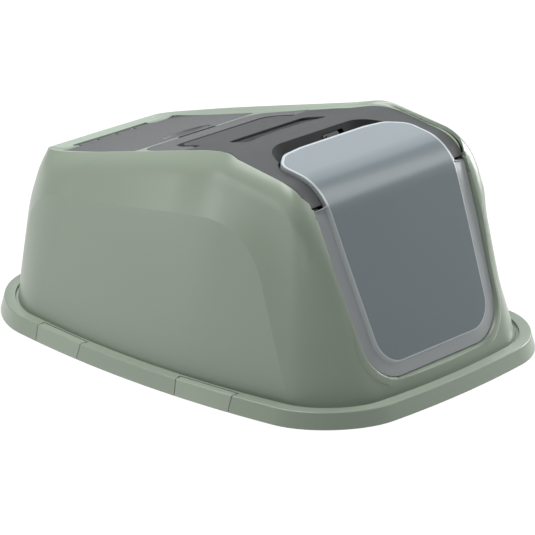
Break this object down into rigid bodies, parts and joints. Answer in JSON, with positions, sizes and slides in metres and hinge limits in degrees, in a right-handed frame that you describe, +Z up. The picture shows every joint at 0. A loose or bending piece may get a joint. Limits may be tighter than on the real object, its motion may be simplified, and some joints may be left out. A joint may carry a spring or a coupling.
{
  "type": "hooded litter box",
  "caption": "Covered pet litter box: tapered hood with a clear swing entry flap, lift-up rear lid, folding carry handle, vent grille with filter and snap clips over a deep pan",
  "frame": {"origin": "centre of the pan's underside, on the floor", "axes": "front (entry flap) is -Y, right is +X, up is +Z; the long way of the box runs along Y"},
  "size_m": [0.4092, 0.5768, 0.2426],
  "materials": {
    "sage_plastic": "smooth satin-gloss moulded plastic, sage green",
    "charcoal_plastic": "fine-textured moulded plastic, charcoal grey",
    "smoke_plastic": "clear smoke-tinted plastic, polished",
    "carbon_foam": "open-cell carbon foam, black",
    "steel_rod": "drawn steel wire"
  },
  "bodies": {
    "tray": {"litter_tray": "charcoal_plastic", "tray_flange": "charcoal_plastic"},
    "hood": {"hood_shell": "sage_plastic", "front_panel": "charcoal_plastic", "filter_grille": "charcoal_plastic", "filter_pad": "carbon_foam", "filter_holder": "charcoal_plastic", "lid_hinge_rod": "steel_rod"},
    "flap": {"entry_flap": "smoke_plastic"},
    "lid": {"rear_lid": "charcoal_plastic"},
    "handle": {"carry_handle": "charcoal_plastic"},
    "lock": {"flap_lock": "charcoal_plastic"},
    "clip_front_left": {"clip_front_left": "sage_plastic"},
    "clip_front_right": {"clip_front_right": "sage_plastic"},
    "clip_rear_left": {"clip_rear_left": "sage_plastic"},
    "clip_rear_right": {"clip_rear_right": "sage_plastic"}
  },
  "joints": [
    {"name": "hood_lift", "type": "slide", "parent": "tray", "child": "hood", "axis": [0, 0, 1], "range_m": [0, 0.12]},
    {"name": "flap_hinge", "type": "hinge", "parent": "hood", "child": "flap", "pos_m": [0, -0.18248, 0.199], "axis": [-1, 0, 0], "range_deg": [0, 75]},
    {"name": "lid_hinge", "type": "hinge", "parent": "hood", "child": "lid", "pos_m": [0, 0.21205, 0.17123], "axis": [-1, 0, 0], "range_deg": [0, 100]},
    {"name": "handle_fold", "type": "hinge", "parent": "hood", "child": "handle", "pos_m": [0, 0.01522, 0.21621], "axis": [1, 0, 0], "range_deg": [0, 90]},
    {"name": "lock_slide", "type": "slide", "parent": "hood", "child": "lock", "axis": [1, 0, 0], "range_m": [0, 0.008]},
    {"name": "clip_front_left_hinge", "type": "hinge", "parent": "hood", "child": "clip_front_left", "pos_m": [-0.18899, -0.108, 0.0151], "axis": [-0.064, 0.998, 0], "range_deg": [0, 40]},
    {"name": "clip_front_right_hinge", "type": "hinge", "parent": "hood", "child": "clip_front_right", "pos_m": [0.18899, -0.108, 0.0151], "axis": [-0.064, -0.998, 0], "range_deg": [0, 40]},
    {"name": "clip_rear_left_hinge", "type": "hinge", "parent": "hood", "child": "clip_rear_left", "pos_m": [-0.1816, 0.108, 0.0151], "axis": [0.1277, 0.9918, 0], "range_deg": [0, 40]},
    {"name": "clip_rear_right_hinge", "type": "hinge", "parent": "hood", "child": "clip_rear_right", "pos_m": [0.1816, 0.108, 0.0151], "axis": [0.1277, -0.9918, 0], "range_deg": [0, 40]}
  ]
}
